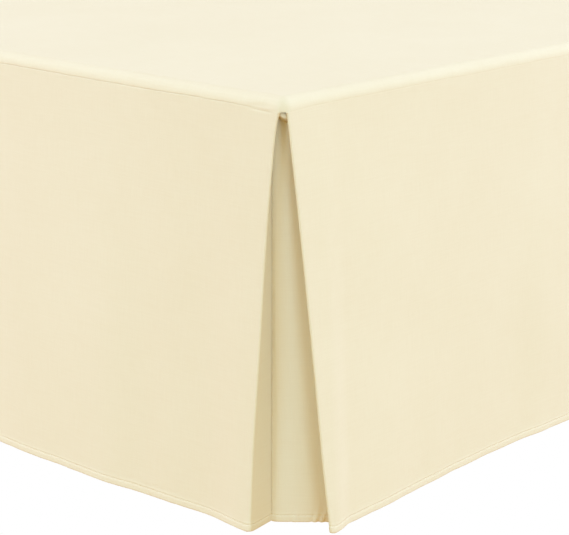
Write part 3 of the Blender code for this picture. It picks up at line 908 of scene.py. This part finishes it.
foot_shares = front_shares(CORNER_TO_CORNER, FOOT_COLUMNS)[1:-1]
foot_lines, foot_along = [], []
for row, pleat in zip(ROWS, pleats):
    first = -pleat.foot[0][0]
    along = first + (CORNER_TO_CORNER - 2 * first) * foot_shares
    front = np.stack([SEAM_X - along, SEAM_FOOT_Y - stands_out(FOOT_HEM, along, row.down)], axis=1)[::-1]
    right = pleat.foot + (SEAM_X, SEAM_FOOT_Y)
    left = (pleat.foot * (-1, 1) + (-SEAM_X, SEAM_FOOT_Y))[::-1]
    foot_lines.append(np.concatenate([left, front, right]))
    foot_along.append(np.concatenate([np.full(len(left), CORNER_TO_CORNER - first), along[::-1],
                                      np.full(len(right), first)]))
foot_lines, foot_along = np.array(foot_lines), np.array(foot_along)
turned_in = len(pleats[0].foot)
foot_front = np.zeros(foot_lines.shape[1])
foot_front[turned_in:-turned_in] = 1
foot_give = np.ones(foot_lines.shape[1])
foot_give[turned_in - FOLD_STEPS - 1:turned_in] = FOLD_GIVE
foot_give[-turned_in:FOLD_STEPS + 1 - turned_in] = FOLD_GIVE
foot_from_corner = np.minimum(foot_along, CORNER_TO_CORNER - foot_along)
foot_calm_at_left = rise((CORNER_TO_CORNER - foot_along) / CORNER_EASE)
foot_unevenness = face_unevenness(foot_along, FOOT_SEED, rise(foot_from_corner / NEAR_FOLD))
foot_unevenness = foot_unevenness * foot_calm_at_left - crease_depth(FOOT_CREASES, foot_along, downs)
foot_rise = seam_lift(foot_along, FOOT_SEED) * foot_calm_at_left - corner_droop(foot_from_corner)
foot_rise += SEAM_CLOSING * (1 - past_corner(foot_from_corner))
left_fold_column = turned_in - 1 - FOLD_STEPS // 2
right_fold_column = foot_lines.shape[1] - 1 - left_fold_column
foot_sag = sag_beside_fold(foot_lines, left_fold_column, FOOT_FOLD_SAG)
foot_sag += sag_beside_fold(foot_lines, right_fold_column, FOOT_FOLD_SAG)
foot_points, foot_outward = hang(foot_lines, foot_along, foot_unevenness * foot_front, foot_give,
                                 curl_share(foot_from_corner, True), foot_rise, foot_sag)
foot_drop_cloth = lay_cloth("foot_drop_cloth", foot_points, flat_layout(foot_points), cream_cotton)
foot_line = foot_points[HEM_ROW, 1:-1] + foot_outward[HEM_ROW, 1:-1] * CLOTH / 2
foot_stitching = sew_line("foot_drop_stitching", foot_line, foot_outward[HEM_ROW, 1:-1], sewing_thread)
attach(foot_drop_cloth, "root")
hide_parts("foot_drop")


# ---- The side drops ----
# The drops along the two sides, cut and hemmed as the foot drop is. Each is turned in behind its corner
# pleat at the foot, and at the open head end it stops at a plain edge with a narrow stitched hem of its own.

SIDE_HEAD_HEM = Hem(0.3, 8.5, 1.5, 0.3, 1.2)

side_shares = front_shares(CORNER_TO_HEAD, SIDE_COLUMNS)[1:]
side_lines, side_along = [], []
for row, pleat in zip(ROWS, pleats):
    first = pleat.side[-1][1]
    along = first + (CORNER_TO_HEAD - first) * side_shares
    front = np.stack([SEAM_X + stands_out(SIDE_HEM, along, row.down), SEAM_FOOT_Y + along], axis=1)
    side_lines.append(np.concatenate([pleat.side + (SEAM_X, SEAM_FOOT_Y), front]))
    side_along.append(np.concatenate([np.full(len(pleat.side), first), along]))
side_lines, side_along = np.array(side_lines), np.array(side_along)
side_turned_in = len(pleats[0].side)
side_front = np.ones(side_lines.shape[1])
side_front[:side_turned_in] = 0
side_give = np.ones(side_lines.shape[1])
side_give[side_turned_in - FOLD_STEPS - 1:side_turned_in] = FOLD_GIVE
to_head = CORNER_TO_HEAD - side_along
head_hem = hem_relief(SIDE_HEAD_HEM, to_head)
side_near_fold = rise(side_along / NEAR_FOLD)
side_sag = sag_beside_fold(side_lines, side_turned_in - 1 - FOLD_STEPS // 2, SIDE_FOLD_SAG)
for side, side_name, seed in ((1, "right", RIGHT_SEED), (-1, "left", LEFT_SEED)):
    unevenness = (face_unevenness(side_along, seed, side_near_fold) + head_hem) * side_front
    side_rise = seam_lift(side_along, seed) - corner_droop(side_along) + SEAM_CLOSING
    points, outward = hang(side_lines, side_along, unevenness, side_give, curl_share(side_along, False),
                           side_rise, side_sag)
    if side < 0:
        points, outward = (points * (-1, 1, 1))[:, ::-1], (outward * (-1, 1, 1))[:, ::-1]
    side_drop_cloth = lay_cloth(f"side_drop_cloth_{side_name}", points, flat_layout(points), cream_cotton)
    hem_line = points[HEM_ROW, 1:-1] + outward[HEM_ROW, 1:-1] * CLOTH / 2
    hem_stitching = sew_line(f"side_drop_stitching_{side_name}", hem_line, outward[HEM_ROW, 1:-1],
                             sewing_thread)
    up_column = int(np.argmin(np.abs(to_head[HEM_ROW] - HEM_STITCH_UP)))
    up_column = up_column if side > 0 else points.shape[1] - 1 - up_column
    up_rows = [index for index, row in enumerate(ROWS) if row.back == 0]
    head_line = points[up_rows, up_column] + outward[up_rows, up_column] * CLOTH / 2
    head_hem_stitching = sew_line(f"side_drop_head_stitching_{side_name}", head_line,
                                  outward[up_rows, up_column], sewing_thread)
    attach(side_drop_cloth, "root")
    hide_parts(f"side_drop_{side_name}")


# ---- The pleat inserts ----
# The panel at the back of each inverted corner pleat, joined to the cloth turned in from the two drops. It
# is cut narrow at the seam and wide at the hem. Its top edge puffs out a little where it is caught under the
# deck.

INSERT_FLAT_WIDTH = 57 * MM
FLAP_COLUMNS = 4             # columns of points on a seam allowance and its turn, beside the insert's face
ROLL_OUT = 2.1 * MM          # how far the insert's face rolls forward beside its inner crease
ROLL_WIDTH = 6.5 * MM
ROLL_FADE_FROM = 0.3         # share across from which it flattens again, towards the side drop
ROLL_HEM_UP = 50 * MM        # over this much above the hem it goes down to half
INSERT_DENT, INSERT_DENT_ACROSS, INSERT_DENT_DOWN = 0.5 * MM, 20 * MM, 120 * MM
INSERT_DENT_SPREAD = 50 * MM  # the dents are spread over the insert as if it were this wide at every level
INSERT_DENT_START = 50 * MM  # they grow from nothing at the seam to their full depth here
INSERT_DENT_SEED = 44
INSERT_SAG = (1.4 * MM, 2.1 * MM)   # how far its hem hangs low, at the foot drop and at the side drop
INSERT_WAVES_FROM = 0.5      # its hem has its own stretch of the uneven waves, from this place along them
EDGE_SHARES = (0.04, 0.92)   # outside these shares across, the dents, the swell and the pulls fade out

# From above, the ends of the bunched top's front, measured from the seam's corner
TUCK_FRONT = np.array(((-9.5, 3.0), (-4.0, 7.5))) * MM
TUCK_SHARES = (0.3, 0.72)
TUCK_DOWN = (3.2 * MM, 4.8 * MM)    # the bunched top stands forward to here, at its left and at its right
TUCK_BACK = (4.5 * MM, 7.5 * MM)    # and within this much more it has fallen back into the pleat
TUCK_RECESS = 2.2 * MM       # just under the deck its two sides lie this much behind its middle
TUCK_RECESS_DOWN = 1.6 * MM
TUCK_RECESS_WAY = (-0.68, 0.73)
TUCK_MIDDLE, TUCK_HALF_WIDTH = 0.48, 0.16
TUCK_SWELL = 7.0 * MM        # below that its middle still swells forward, over the first few centimetres
TUCK_SWELL_DOWN = 42 * MM
TUCK_SWELL_SHARES = (0.15, 0.55, 0.6, 1.0)   # it starts, is full, starts to flatten and ends at these shares

# Small pulls in the insert's hem: share across, millimetres across for each one up, depth in millimetres, and
# width as a share
Pull = namedtuple("Pull", "across lean depth width")
HEM_PULLS = [
    Pull(0.29, 0.15, -0.5, 0.035), Pull(0.345, 0.2, 0.5, 0.03), Pull(0.615, 0.3, -0.8, 0.03),
    Pull(0.67, 0.35, 0.8, 0.028), Pull(0.725, 0.4, -0.9, 0.03), Pull(0.78, 0.45, 0.8, 0.028),
    Pull(0.84, 0.45, -0.7, 0.03),
]
HEM_PULL_UP = 7 * MM


def ease(value, start, end):
    """Rises smoothly from 0 at the start to 1 at the end."""
    return rise((value - start) / (end - start))


def from_to(ends, share):
    return ends[0] + (ends[1] - ends[0]) * share


insert_lines = np.array([pleat.insert for pleat in pleats])
insert_columns = insert_lines.shape[1]
left_column, right_column = FLAP_COLUMNS, insert_columns - 1 - FLAP_COLUMNS
insert_share = (np.arange(insert_columns) - left_column) / (right_column - left_column)
insert_share = np.clip(insert_share, 0, 1)[None, :]
insert_width = np.linalg.norm(insert_lines[:, right_column] - insert_lines[:, left_column], axis=1)[:, None]
past_crease = np.clip(insert_share * insert_width / ROLL_WIDTH, 0, 1)
insert_roll = ROLL_OUT * insert_width / insert_width.max() * (1 - (1 - past_crease) ** 3)
insert_roll *= 1 - ease(insert_share, ROLL_FADE_FROM, 1)
insert_roll *= 1 - ease(downs, DROP - ROLL_HEM_UP, DROP) / 2
insert_bulge = INSERT_DENT * soft_dents(insert_share * INSERT_DENT_SPREAD, downs, INSERT_DENT_ACROSS,
                                        INSERT_DENT_DOWN, INSERT_DENT_SEED) * rise(downs / INSERT_DENT_START)
tuck_swell = ease(insert_share, *TUCK_SWELL_SHARES[:2]) * (1 - ease(insert_share, *TUCK_SWELL_SHARES[2:]))
insert_bulge = insert_bulge + TUCK_SWELL * tuck_swell * np.exp(-(downs / TUCK_SWELL_DOWN) ** 2)
insert_up = DROP - downs
for pull in HEM_PULLS:
    beside = (insert_share - pull.across - pull.lean * insert_up / INSERT_FLAT_WIDTH) / pull.width
    insert_bulge = insert_bulge + pull.depth * MM * np.exp(-beside ** 2) * np.exp(-insert_up / HEM_PULL_UP)
inside_edges = ease(insert_share, 0, EDGE_SHARES[0]) * (1 - ease(insert_share, EDGE_SHARES[1], 1))
to_the_right = ease(insert_share, *TUCK_SHARES)
tucked = 1 - rise((downs - from_to(TUCK_DOWN, to_the_right)) / from_to(TUCK_BACK, to_the_right))
beside_middle = 1 - np.exp(-((insert_share - TUCK_MIDDLE) / TUCK_HALF_WIDTH) ** 2)
tuck_recess = TUCK_RECESS * beside_middle * np.exp(-(downs / TUCK_RECESS_DOWN) ** 2)
for axis in range(2):
    front = np.array([
        np.interp(insert_share[0], (0, *TUCK_SHARES, 1),
                  (line[left_column, axis], *TUCK_FRONT[:, axis], line[right_column, axis]))
        for line in insert_lines
    ])
    front += tuck_recess * TUCK_RECESS_WAY[axis]
    moved = (front - insert_lines[..., axis]) * tucked
    insert_lines[:, left_column:right_column + 1, axis] += moved[:, left_column:right_column + 1]
insert_unevenness = (insert_roll + insert_bulge * inside_edges) * (1 - tucked)
insert_give = np.ones(insert_columns)
insert_along = insert_share * INSERT_FLAT_WIDTH + INSERT_WAVES_FROM
insert_along = np.broadcast_to(insert_along, (len(ROWS), insert_columns))
stitched = slice(FLAP_COLUMNS - 1, 1 - FLAP_COLUMNS)
for side, side_name in ((1, "right"), (-1, "left")):
    points, outward = hang(insert_lines, insert_along, insert_unevenness, insert_give, 1, -CORNER_DROOP,
                           from_to(INSERT_SAG, insert_share))
    points[..., :2] += (SEAM_X, SEAM_FOOT_Y)
    if side < 0:
        points, outward = (points * (-1, 1, 1))[:, ::-1], (outward * (-1, 1, 1))[:, ::-1]
    insert_cloth = lay_cloth(f"pleat_insert_cloth_{side_name}", points, flat_layout(points), cream_cotton)
    hem_line = points[HEM_ROW, stitched] + outward[HEM_ROW, stitched] * CLOTH / 2
    insert_stitching = sew_line(f"pleat_insert_stitching_{side_name}", hem_line, outward[HEM_ROW, stitched],
                                sewing_thread)
    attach(insert_cloth, "root")
    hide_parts(f"pleat_insert_{side_name}")


# ---- The room ----
# A white studio floor and walls that light the bed softly from all sides, warm from the walls and the floor
# and cool from the ceiling, five cool softboxes round the foot corner, and a camera a step off that corner.

FLOOR_SIZE = 24
WALL_LIGHT = (1.03, 1.25, 0.74)
CEILING_LIGHT = (1.02, 0.88, 1.04)
FLOOR_LIGHT = (0.67, 0.34, 0.0)
WHITE = (1, 1, 1)
Softbox = namedtuple("Softbox", "name azimuth elevation size power colour")   # degrees, metres and watts
SOFTBOXES = [
    Softbox("light_far_left", -60, 12, 0.8, 45.5, (0.50, 0.57, 1.00)),
    Softbox("light_left", 0, 12, 0.8, 25.2, (0.24, 0.54, 1.00)),
    Softbox("light_by_camera", 62, 12, 0.8, 24.1, (0.43, 0.70, 1.00)),
    Softbox("light_right", 77, 12, 1.2, 15.7, (0.26, 0.54, 1.00)),
    Softbox("light_far_right", 145, 12, 0.8, 54.4, (0.41, 0.55, 1.00)),
]
SOFTBOX_DISTANCE = 3
SOFTBOX_AIM_DOWN = 0.15      # below the seam's corner
CAMERA_AZIMUTH, CAMERA_ELEVATION = math.radians(42.73), math.radians(15.55)
CAMERA_FROM_CORNER = Vector((0.97318, -1.05301, 0.26961))
FOCAL_LENGTH, PHOTO_WIDTH = 1813, 569   # in pixels
SENSOR_WIDTH = 36            # millimetres

bpy.ops.object.select_all(action="DESELECT")
bpy.ops.mesh.primitive_plane_add(size=FLOOR_SIZE, location=(0, 0, 0))
floor = bpy.context.object
floor.name = "studio_floor"
floor_paint, _, floor_shader = new_finish("white_floor", 0.9)
floor_shader.inputs["Base Color"].default_value = (0, 0, 0, 1)
floor_shader.inputs["Specular IOR Level"].default_value = 0.0
floor_shader.inputs["Emission Color"].default_value = (*WHITE, 1)
floor_shader.inputs["Emission Strength"].default_value = 1.0
floor.data.materials.append(floor_paint)
floor.visible_diffuse = False
floor.visible_glossy = False
floor.visible_shadow = False

walls = bpy.data.worlds.new("studio_walls")
bpy.context.scene.world = walls
walls.use_nodes = True
walls_tree = walls.node_tree
walls_way = add_node(walls_tree, "ShaderNodeTexCoord").outputs["Generated"]
walls_height = add_node(walls_tree, "ShaderNodeSeparateXYZ", {0: walls_way}).outputs["Z"]
walls_light = mix_colours(walls_tree, walls_height, WALL_LIGHT, CEILING_LIGHT)
above_floor = calculate(walls_tree, "GREATER_THAN", walls_height)
room_light = mix_colours(walls_tree, above_floor, FLOOR_LIGHT, walls_light)
walls_seen = add_node(walls_tree, "ShaderNodeLightPath").outputs["Is Camera Ray"]
walls_colour = mix_colours(walls_tree, walls_seen, room_light, WHITE)
walls_tree.links.new(walls_colour, walls_tree.nodes["Background"].inputs["Color"])
walls_tree.nodes["Background"].inputs["Strength"].default_value = 1.0

seam_corner = Vector((SEAM_X, SEAM_FOOT_Y, SEAM_Z))
for softbox in SOFTBOXES:
    lamp = bpy.data.lights.new(softbox.name, "AREA")
    lamp.shape = "SQUARE"
    lamp.size = softbox.size
    lamp.energy = softbox.power
    lamp.color = softbox.colour
    turn, tilt = math.radians(softbox.azimuth), math.radians(softbox.elevation)
    way_to_lamp = Vector((math.sin(turn) * math.cos(tilt), -math.cos(turn) * math.cos(tilt), math.sin(tilt)))
    hung_lamp = bpy.data.objects.new(softbox.name, lamp)
    bpy.context.scene.collection.objects.link(hung_lamp)
    hung_lamp.location = seam_corner + Vector((0, 0, -SOFTBOX_AIM_DOWN)) + SOFTBOX_DISTANCE * way_to_lamp
    hung_lamp.rotation_euler = way_to_lamp.to_track_quat("Z", "Y").to_euler()

bpy.context.scene.view_settings.view_transform = "Standard"
bpy.context.scene.view_settings.look = "None"

back = Vector((math.sin(CAMERA_AZIMUTH) * math.cos(CAMERA_ELEVATION),
               -math.cos(CAMERA_AZIMUTH) * math.cos(CAMERA_ELEVATION), math.sin(CAMERA_ELEVATION)))
right = Vector((math.cos(CAMERA_AZIMUTH), math.sin(CAMERA_AZIMUTH), 0))
camera = bpy.data.objects.new("camera", bpy.data.cameras.new("camera"))
bpy.context.scene.collection.objects.link(camera)
camera_turn = Matrix((right, back.cross(right), back)).transposed().to_4x4()
camera.matrix_world = Matrix.Translation(seam_corner + CAMERA_FROM_CORNER) @ camera_turn
camera.data.sensor_width = SENSOR_WIDTH
camera.data.lens = FOCAL_LENGTH / PHOTO_WIDTH * SENSOR_WIDTH
camera.data.clip_start = 0.01
bpy.context.scene.camera = camera
